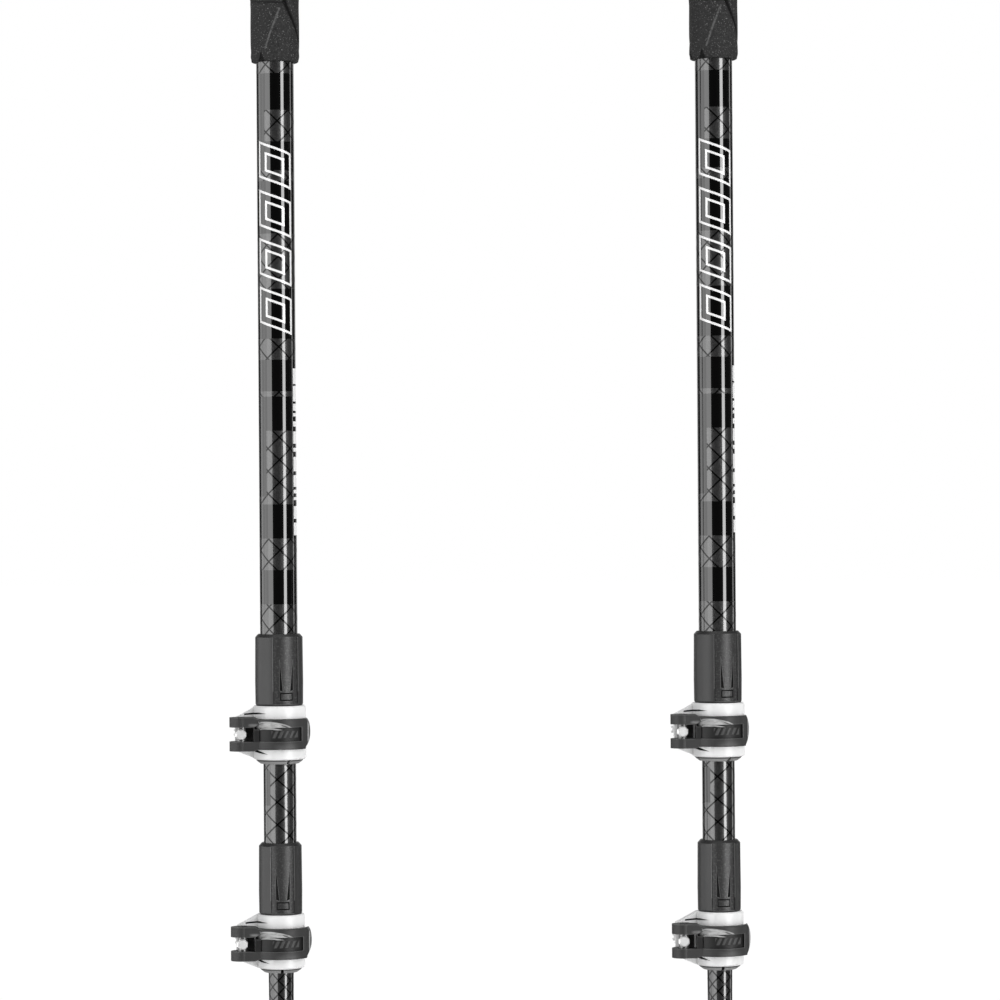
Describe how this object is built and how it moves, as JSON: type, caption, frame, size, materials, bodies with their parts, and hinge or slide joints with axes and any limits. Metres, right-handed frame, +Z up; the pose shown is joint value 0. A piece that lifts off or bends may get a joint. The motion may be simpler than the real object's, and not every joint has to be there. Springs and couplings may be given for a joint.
{
  "type": "trekking poles",
  "caption": "Pair of telescopic three-section trekking poles with cam lever locks, straps, round baskets and hard points.",
  "frame": {"origin": "point of the left pole, where it meets the ground", "axes": "+Z up along the poles from point to grip, +X from the left pole to the right pole, -Y the side the levers' handles cross"},
  "size_m": [0.2896, 0.052, 0.68],
  "materials": {
    "grip_foam": "soft-touch, finely pitted",
    "grip_core": "plain",
    "cap": "satin",
    "steel": "satin",
    "webbing": "woven",
    "pad": "padded, knitted face",
    "buckle": "satin",
    "tube": "gloss black lacquer with a printed diamond pattern",
    "sleeve": "fine satin",
    "ring": "smooth white",
    "lever": "satin",
    "plug": "plain",
    "holder": "satin",
    "basket": "matt",
    "point": "ground",
    "wheel": "satin"
  },
  "bodies": {
    "left_lower_section": {"left_lower_tube": "tube", "left_lower_guide_plug": "plug", "left_tip_holder": "holder", "left_basket": "basket", "left_carbide_point": "point"},
    "left_middle_section": {"left_middle_tube": "tube", "left_middle_guide_plug": "plug", "left_lower_collet_sleeve": "sleeve", "left_lower_clamp_ring": "ring", "left_lower_barrel_nut": "steel", "left_lower_clamp_bolt": "steel", "left_lower_cam_plate": "plug"},
    "left_upper_section": {"left_upper_tube": "tube", "left_grip_body": "grip_foam", "left_grip_core": "grip_core", "left_grip_cap": "cap", "left_strap_pin": "steel", "left_upper_collet_sleeve": "sleeve", "left_upper_clamp_ring": "ring", "left_upper_barrel_nut": "steel", "left_upper_clamp_bolt": "steel", "left_upper_cam_plate": "plug"},
    "left_strap": {"left_strap_webbing": "webbing", "left_strap_pad": "pad", "left_strap_buckle": "buckle"},
    "left_lower_lever": {"left_lower_lever": "lever"},
    "left_lower_wheel": {"left_lower_adjuster_wheel": "wheel"},
    "left_upper_lever": {"left_upper_lever": "lever"},
    "left_upper_wheel": {"left_upper_adjuster_wheel": "wheel"},
    "right_lower_section": {"right_lower_tube": "tube", "right_lower_guide_plug": "plug", "right_tip_holder": "holder", "right_basket": "basket", "right_carbide_point": "point"},
    "right_middle_section": {"right_middle_tube": "tube", "right_middle_guide_plug": "plug", "right_lower_collet_sleeve": "sleeve", "right_lower_clamp_ring": "ring", "right_lower_barrel_nut": "steel", "right_lower_clamp_bolt": "steel", "right_lower_cam_plate": "plug"},
    "right_upper_section": {"right_upper_tube": "tube", "right_grip_body": "grip_foam", "right_grip_core": "grip_core", "right_grip_cap": "cap", "right_strap_pin": "steel", "right_upper_collet_sleeve": "sleeve", "right_upper_clamp_ring": "ring", "right_upper_barrel_nut": "steel", "right_upper_clamp_bolt": "steel", "right_upper_cam_plate": "plug"},
    "right_strap": {"right_strap_webbing": "webbing", "right_strap_pad": "pad", "right_strap_buckle": "buckle"},
    "right_lower_lever": {"right_lower_lever": "lever"},
    "right_lower_wheel": {"right_lower_adjuster_wheel": "wheel"},
    "right_upper_lever": {"right_upper_lever": "lever"},
    "right_upper_wheel": {"right_upper_adjuster_wheel": "wheel"}
  },
  "joints": [
    {"name": "left_middle_slide", "type": "slide", "parent": "left_lower_section", "child": "left_middle_section", "axis": [0, 0, 1], "range_m": [0, 0.32]},
    {"name": "left_upper_slide", "type": "slide", "parent": "left_middle_section", "child": "left_upper_section", "axis": [0, 0, 1], "range_m": [0, 0.32]},
    {"name": "left_lower_lever_pivot", "type": "hinge", "parent": "left_middle_section", "child": "left_lower_lever", "pos_m": [-0.0157, -0.0095, 0.15532], "axis": [0, 0, -1], "range_deg": [0, 140]},
    {"name": "left_lower_wheel_turn", "type": "hinge", "parent": "left_middle_section", "child": "left_lower_wheel", "pos_m": [-0.0157, 0.0055, 0.15532], "axis": [0, 1, 0], "continuous": true},
    {"name": "left_upper_lever_pivot", "type": "hinge", "parent": "left_upper_section", "child": "left_upper_lever", "pos_m": [-0.0157, -0.0095, 0.24418], "axis": [0, 0, -1], "range_deg": [0, 140]},
    {"name": "left_upper_wheel_turn", "type": "hinge", "parent": "left_upper_section", "child": "left_upper_wheel", "pos_m": [-0.0157, 0.0055, 0.24418], "axis": [0, 1, 0], "continuous": true},
    {"name": "left_strap_swing", "type": "hinge", "parent": "left_upper_section", "child": "left_strap", "pos_m": [0.005, 0, 0.662], "axis": [0, -1, 0], "range_deg": [-5, 30]},
    {"name": "right_middle_slide", "type": "slide", "parent": "right_lower_section", "child": "right_middle_section", "axis": [0, 0, 1], "range_m": [0, 0.32]},
    {"name": "right_upper_slide", "type": "slide", "parent": "right_middle_section", "child": "right_upper_section", "axis": [0, 0, 1], "range_m": [0, 0.32]},
    {"name": "right_lower_lever_pivot", "type": "hinge", "parent": "right_middle_section", "child": "right_lower_lever", "pos_m": [0.1714, -0.0095, 0.15532], "axis": [0, 0, -1], "range_deg": [0, 140]},
    {"name": "right_lower_wheel_turn", "type": "hinge", "parent": "right_middle_section", "child": "right_lower_wheel", "pos_m": [0.1714, 0.0055, 0.15532], "axis": [0, 1, 0], "continuous": true},
    {"name": "right_upper_lever_pivot", "type": "hinge", "parent": "right_upper_section", "child": "right_upper_lever", "pos_m": [0.1714, -0.0095, 0.24418], "axis": [0, 0, -1], "range_deg": [0, 140]},
    {"name": "right_upper_wheel_turn", "type": "hinge", "parent": "right_upper_section", "child": "right_upper_wheel", "pos_m": [0.1714, 0.0055, 0.24418], "axis": [0, 1, 0], "continuous": true},
    {"name": "right_strap_swing", "type": "hinge", "parent": "right_upper_section", "child": "right_strap", "pos_m": [0.1921, 0, 0.662], "axis": [0, -1, 0], "range_deg": [-5, 30]},
    {"name": "pole_spacing", "type": "slide", "parent": "left_lower_section", "child": "right_lower_section", "axis": [1, 0, 0], "range_m": [-0.06, 0.4]}
  ]
}
